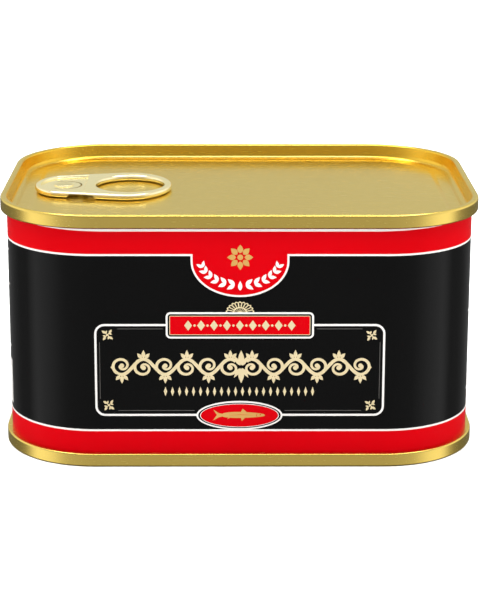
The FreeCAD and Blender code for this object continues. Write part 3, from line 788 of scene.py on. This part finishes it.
def make_camera():
    """A long lens from a little above the front."""
    data = bpy.data.cameras.new("camera")
    data.lens = 112.516
    data.sensor_width = 36.0
    data.shift_y = -0.14
    camera = bpy.data.objects.new("camera", data)
    camera.location = Vector((-2.82, -425.6, 151.2)) * MM
    camera.rotation_euler = (math.pi / 2 - 0.2390, -0.0019, -0.00674)
    bpy.context.scene.collection.objects.link(camera)
    bpy.context.scene.camera = camera


def make_floor():
    """A wide pale sheet that the tin stands on and doesn't mirror."""
    mesh = bpy.data.meshes.new("floor")
    reach = 4.0
    mesh.from_pydata(
        [(-reach, -reach, 0), (reach, -reach, 0), (reach, reach, 0), (-reach, reach, 0)],
        [], [(0, 1, 2, 3)],
    )
    floor = bpy.data.objects.new("floor", mesh)
    bpy.context.scene.collection.objects.link(floor)
    material, nodes, links = new_material("floor_paper")
    shader = nodes["Principled BSDF"]
    paper = noise_node(nodes, links, 3.0)
    links.new(blend(nodes, links, paper, (0.90, 0.90, 0.90), (0.88, 0.88, 0.88)), shader.inputs["Base Color"])
    shader.inputs["Roughness"].default_value = 0.9
    shader.inputs["Specular IOR Level"].default_value = 0.1
    mesh.materials.append(material)
    floor.visible_glossy = False


def softbox(name, place, target, size, power):
    """A large soft light that the tin doesn't mirror."""
    data = bpy.data.lights.new(name, "AREA")
    data.shape = "RECTANGLE"
    data.size, data.size_y = size
    data.energy = power
    light = bpy.data.objects.new(name, data)
    light.location = place
    light.rotation_euler = (Vector(target) - Vector(place)).to_track_quat("-Z", "Y").to_euler()
    light.visible_camera = False
    light.visible_glossy = False
    bpy.context.scene.collection.objects.link(light)


# Brightness of the studio that the tin mirrors: low and high round it, from its front (0) past its
# side (0.5) to its back (1), and a ring of light overhead, from the horizon (0) to straight up (1).
# CROWN is the light inside that ring, and no curve goes over BRIGHTEST.
STUDIO_LOW = ((0.0, 0.50), (0.22, 0.62), (0.34, 1.2), (0.46, 1.4), (0.55, 0.32), (0.65, 0.19), (1.0, 0.18))
STUDIO_HIGH = ((0.0, 0.38), (0.25, 0.55), (0.45, 1.2), (0.65, 1.2), (0.85, 0.70), (1.0, 0.61))
RING_LIGHT = ((0.0, 0.0), (0.86, 0.0), (0.885, 6.0), (0.925, 6.0), (0.95, 0.0), (1.0, 0.0))
CROWN = 0.62
BRIGHTEST = 8.0


def make_world():
    """White behind the tin for the camera, and a soft studio in what the tin mirrors."""
    world = bpy.data.worlds.new("studio")
    world.use_nodes = True
    nodes, links = world.node_tree.nodes, world.node_tree.links

    def plug(socket, source):
        """Set a socket to a number, or link it."""
        if isinstance(source, (int, float)):
            socket.default_value = source
        else:
            links.new(source, socket)

    def sum_node(operation, *sources):
        """One step of arithmetic."""
        node = nodes.new("ShaderNodeMath")
        node.operation = operation
        for socket, source in zip(node.inputs, sources):
            plug(socket, source)
        return node.outputs[0]

    def ramp(source, start, end, first=0.0, last=1.0):
        """From first at start to last at end, and level beyond them."""
        node = nodes.new("ShaderNodeMapRange")
        for label, size in (("From Min", start), ("From Max", end), ("To Min", first), ("To Max", last)):
            node.inputs[label].default_value = size
        links.new(source, node.inputs["Value"])
        return node.outputs["Result"]

    def mixed(factor, first, second):
        """The first brightness turned into the second by a factor."""
        node = nodes.new("ShaderNodeMix")
        for label, source in (("Factor", factor), ("A", first), ("B", second)):
            plug(node.inputs[label], source)
        return node.outputs["Result"]

    def curve(source, stops):
        """Straight lines between pairs of place and brightness."""
        node = nodes.new("ShaderNodeFloatCurve")
        points = node.mapping.curves[0].points
        for index, (place, level) in enumerate(stops):
            point = points[index] if index < 2 else points.new(place, level / BRIGHTEST)
            point.location = (place, level / BRIGHTEST)
            point.handle_type = "VECTOR"
        node.mapping.update()
        links.new(source, node.inputs["Value"])
        return sum_node("MULTIPLY", node.outputs[0], BRIGHTEST)

    direction = nodes.new("ShaderNodeSeparateXYZ")
    links.new(nodes.new("ShaderNodeTexCoord").outputs["Generated"], direction.inputs[0])
    across, ahead, up = direction.outputs
    turn = sum_node("ARCTAN2", sum_node("ABSOLUTE", across), sum_node("MULTIPLY", ahead, -1.0))
    turn = sum_node("DIVIDE", turn, math.pi)
    level = mixed(ramp(up, -0.2, 0.12), curve(turn, STUDIO_LOW), curve(turn, STUDIO_HIGH))
    level = sum_node("MULTIPLY", level, ramp(up, -0.8, -0.5, 0.1, 1.0))
    level = mixed(ramp(up, 0.55, 0.85), level, CROWN)
    level = sum_node("ADD", level, curve(up, RING_LIGHT))
    seen = nodes.new("ShaderNodeLightPath").outputs["Is Camera Ray"]
    links.new(mixed(seen, level, 1.0), nodes["Background"].inputs["Strength"])
    nodes["Background"].inputs["Color"].default_value = (1, 1, 1, 1)
    bpy.context.scene.world = world


make_camera()
make_floor()
make_world()
softbox("overhead_fill", (0, 0, 0.9), (0, 0, 0), (1.6, 1.6), 18.5)
bpy.context.scene.view_settings.view_transform = "Standard"
